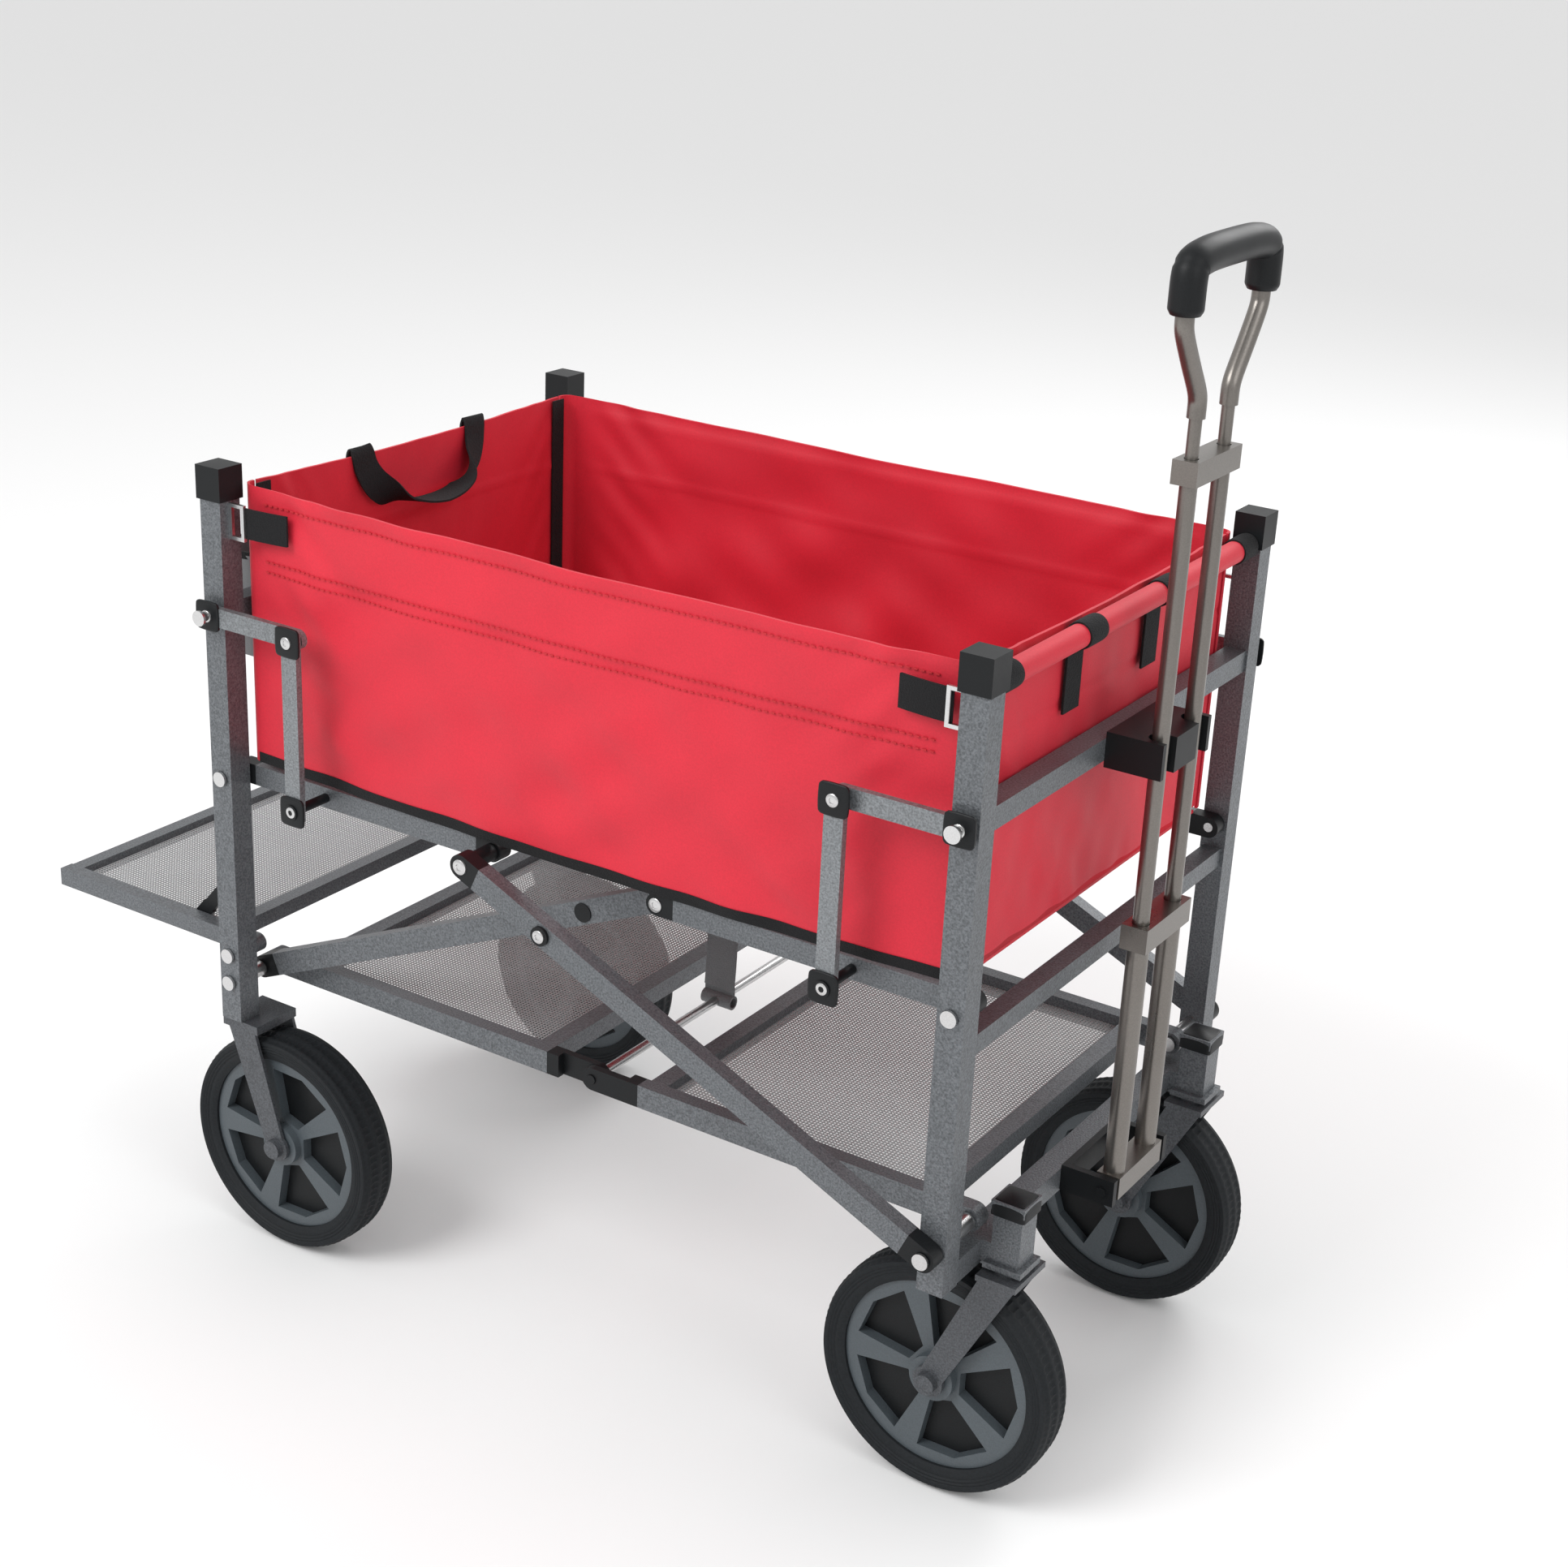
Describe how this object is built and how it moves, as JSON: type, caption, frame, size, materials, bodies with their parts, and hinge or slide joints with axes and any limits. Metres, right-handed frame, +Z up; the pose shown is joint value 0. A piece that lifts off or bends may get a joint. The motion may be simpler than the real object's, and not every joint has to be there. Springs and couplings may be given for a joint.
{
  "type": "folding camp wagon",
  "caption": "Folding camp wagon with a red fabric basket, lower mesh deck, rear flip-up platform, cross-braced tube frame, swivel front wheels and a telescoping pull handle.",
  "frame": {"origin": "on the floor, under the middle of the whole length and width", "axes": "+X to the pull-handle end, +Y to the wagon's left, +Z up"},
  "size_m": [1.0164, 0.5088, 0.965],
  "materials": {
    "frame_metal": "hammertone powder coat",
    "black_plastic": "satin",
    "zinc": "bright zinc",
    "red_fabric": "woven polyester",
    "black_webbing": "webbing",
    "grey_webbing": "webbing",
    "mesh": "open mesh",
    "rim_plastic": "satin",
    "tyre": "moulded",
    "handle_tube": "satin"
  },
  "bodies": {
    "rear_frame": {"rear_legs": "frame_metal", "rear_crossbar": "frame_metal", "rear_caps": "black_plastic", "rear_pins": "zinc", "rear_forks": "frame_metal", "rear_end_panel": "red_fabric", "basket_side_right": "red_fabric", "basket_side_left": "red_fabric", "rear_rings": "zinc", "rear_tabs": "black_webbing", "carry_handle": "black_webbing", "cup_pocket": "mesh"},
    "front_frame": {"front_legs": "frame_metal", "front_crossbars": "frame_metal", "front_top_bar": "black_plastic", "front_caps": "black_plastic", "front_pins": "zinc", "front_end_panel": "red_fabric", "front_rings": "zinc", "front_tabs": "black_webbing", "caster_posts": "black_plastic", "handle_bracket": "black_plastic", "handle_clip": "black_plastic"},
    "deck_rear": {"deck_rear_frame": "frame_metal", "deck_rear_mesh": "mesh", "deck_hinges_rear": "black_plastic"},
    "deck_front": {"deck_front_frame": "frame_metal", "deck_front_mesh": "mesh", "deck_hinges_front": "black_plastic"},
    "braces_rear": {"brace_rear_tubes": "frame_metal", "brace_rear_joints": "black_plastic"},
    "braces_front": {"brace_front_tubes": "frame_metal", "brace_front_joints": "black_plastic"},
    "base_rear": {"base_rear_frame": "frame_metal", "base_rear_joints": "black_plastic", "floor_rear": "red_fabric"},
    "base_front": {"base_front_frame": "frame_metal", "base_front_joints": "black_plastic", "floor_front": "red_fabric"},
    "arms_rear_body": {"arms_rear": "frame_metal"},
    "arms_front_body": {"arms_front": "frame_metal"},
    "links_rear_body": {"links_rear": "frame_metal"},
    "links_front_body": {"links_front": "frame_metal"},
    "strap": {"lift_strap": "grey_webbing"},
    "platform": {"platform_frame": "frame_metal", "platform_mesh": "mesh"},
    "stay_pair": {"stays": "black_plastic"},
    "handle_base": {"handle_lower": "handle_tube"},
    "handle_mid": {"handle_middle": "handle_tube"},
    "handle_top": {"handle_loop": "black_plastic"},
    "swivel_right": {"caster_right": "frame_metal"},
    "swivel_left": {"caster_left": "frame_metal"},
    "spin_rear_right": {"tyre_rear_right": "tyre", "rim_rear_right": "rim_plastic"},
    "spin_rear_left": {"tyre_rear_left": "tyre", "rim_rear_left": "rim_plastic"},
    "spin_front_right": {"tyre_front_right": "tyre", "rim_front_right": "rim_plastic"},
    "spin_front_left": {"tyre_front_left": "tyre", "rim_front_left": "rim_plastic"}
  },
  "joints": [
    {"name": "deck_fold", "type": "hinge", "parent": "rear_frame", "child": "deck_rear", "pos_m": [-0.27325, 0, 0.25], "axis": [0, -1, 0], "range_deg": [0, 66.42], "deforming": ["basket_side_right", "basket_side_left", "floor_rear", "floor_front", "lift_strap"]},
    {"name": "deck_middle", "type": "hinge", "parent": "deck_rear", "child": "deck_front", "pos_m": [0.07675, 0, 0.25], "axis": [0, 1, 0], "range_deg": [0, 132.85]},
    {"name": "front_frame_turn", "type": "hinge", "parent": "deck_front", "child": "front_frame", "pos_m": [0.42675, 0, 0.25], "axis": [0, -1, 0], "range_deg": [0, 66.42]},
    {"name": "brace_rear_turn", "type": "hinge", "parent": "rear_frame", "child": "braces_rear", "pos_m": [-0.27325, 0, 0.25], "axis": [0, -1, 0], "range_deg": [0, 44.75]},
    {"name": "brace_front_turn", "type": "hinge", "parent": "front_frame", "child": "braces_front", "pos_m": [0.42675, 0, 0.25], "axis": [0, 1, 0], "range_deg": [0, 44.75]},
    {"name": "base_rear_turn", "type": "hinge", "parent": "rear_frame", "child": "base_rear", "pos_m": [-0.27325, 0, 0.44], "axis": [0, -1, 0], "range_deg": [0, 66.47]},
    {"name": "base_front_turn", "type": "hinge", "parent": "front_frame", "child": "base_front", "pos_m": [0.42675, 0, 0.44], "axis": [0, 1, 0], "range_deg": [0, 66.42]},
    {"name": "arms_rear_turn", "type": "hinge", "parent": "rear_frame", "child": "arms_rear_body", "pos_m": [-0.27325, 0, 0.585], "axis": [0, -1, 0], "range_deg": [0, 66.42]},
    {"name": "arms_front_turn", "type": "hinge", "parent": "front_frame", "child": "arms_front_body", "pos_m": [0.42675, 0, 0.585], "axis": [0, 1, 0], "range_deg": [0, 66.42]},
    {"name": "links_rear_turn", "type": "hinge", "parent": "base_rear", "child": "links_rear_body", "pos_m": [-0.17825, 0, 0.44], "axis": [0, 1, 0], "range_deg": [0, 66.42]},
    {"name": "links_front_turn", "type": "hinge", "parent": "base_front", "child": "links_front_body", "pos_m": [0.33175, 0, 0.44], "axis": [0, -1, 0], "range_deg": [0, 66.42]},
    {"name": "strap_turn", "type": "hinge", "parent": "deck_rear", "child": "strap", "pos_m": [0.07675, 0, 0.25], "axis": [0, 1, 0], "range_deg": [0, 66.42]},
    {"name": "platform_flip", "type": "hinge", "parent": "rear_frame", "child": "platform", "pos_m": [-0.27325, 0, 0.276], "axis": [0, 1, 0], "range_deg": [0, 80]},
    {"name": "stay_turn", "type": "hinge", "parent": "platform", "child": "stay_pair", "pos_m": [-0.34825, 0, 0.276], "axis": [0, -1, 0], "range_deg": [0, 124]},
    {"name": "handle_tilt", "type": "hinge", "parent": "front_frame", "child": "handle_base", "pos_m": [0.47275, 0, 0.226], "axis": [0, 1, 0], "range_deg": [0, 85]},
    {"name": "handle_middle_slide", "type": "slide", "parent": "handle_base", "child": "handle_mid", "axis": [0, 0, -1], "range_m": [0, 0.13]},
    {"name": "handle_top_slide", "type": "slide", "parent": "handle_mid", "child": "handle_top", "axis": [0, 0, -1], "range_m": [0, 0.03]},
    {"name": "swivel_right_turn", "type": "hinge", "parent": "front_frame", "child": "swivel_right", "pos_m": [0.45675, -0.165, 0.214], "axis": [0, 0, 1], "continuous": true},
    {"name": "wheel_front_right_spin", "type": "hinge", "parent": "swivel_right", "child": "spin_front_right", "pos_m": [0.40675, -0.165, 0.1015], "axis": [0, 1, 0], "continuous": true},
    {"name": "wheel_rear_right_spin", "type": "hinge", "parent": "rear_frame", "child": "spin_rear_right", "pos_m": [-0.22825, -0.2105, 0.1015], "axis": [0, 1, 0], "continuous": true},
    {"name": "swivel_left_turn", "type": "hinge", "parent": "front_frame", "child": "swivel_left", "pos_m": [0.45675, 0.165, 0.214], "axis": [0, 0, 1], "continuous": true},
    {"name": "wheel_front_left_spin", "type": "hinge", "parent": "swivel_left", "child": "spin_front_left", "pos_m": [0.40675, 0.165, 0.1015], "axis": [0, 1, 0], "continuous": true},
    {"name": "wheel_rear_left_spin", "type": "hinge", "parent": "rear_frame", "child": "spin_rear_left", "pos_m": [-0.22825, 0.2105, 0.1015], "axis": [0, 1, 0], "continuous": true}
  ],
  "couplings": [
    {"joint": "deck_middle", "follows": "deck_fold", "ratio": 2},
    {"joint": "front_frame_turn", "follows": "deck_fold", "ratio": 1},
    {"joint": "base_rear_turn", "follows": "deck_fold", "ratio": 1},
    {"joint": "base_front_turn", "follows": "deck_fold", "ratio": 1},
    {"joint": "arms_rear_turn", "follows": "deck_fold", "ratio": 1},
    {"joint": "arms_front_turn", "follows": "deck_fold", "ratio": 1},
    {"joint": "links_rear_turn", "follows": "deck_fold", "ratio": 1},
    {"joint": "links_front_turn", "follows": "deck_fold", "ratio": 1},
    {"joint": "strap_turn", "follows": "deck_fold", "ratio": 1},
    {"joint": "brace_rear_turn", "follows": "deck_fold", "ratio": 0.673},
    {"joint": "brace_front_turn", "follows": "deck_fold", "ratio": 0.673},
    {"joint": "stay_turn", "follows": "platform_flip", "ratio": 1.54}
  ]
}
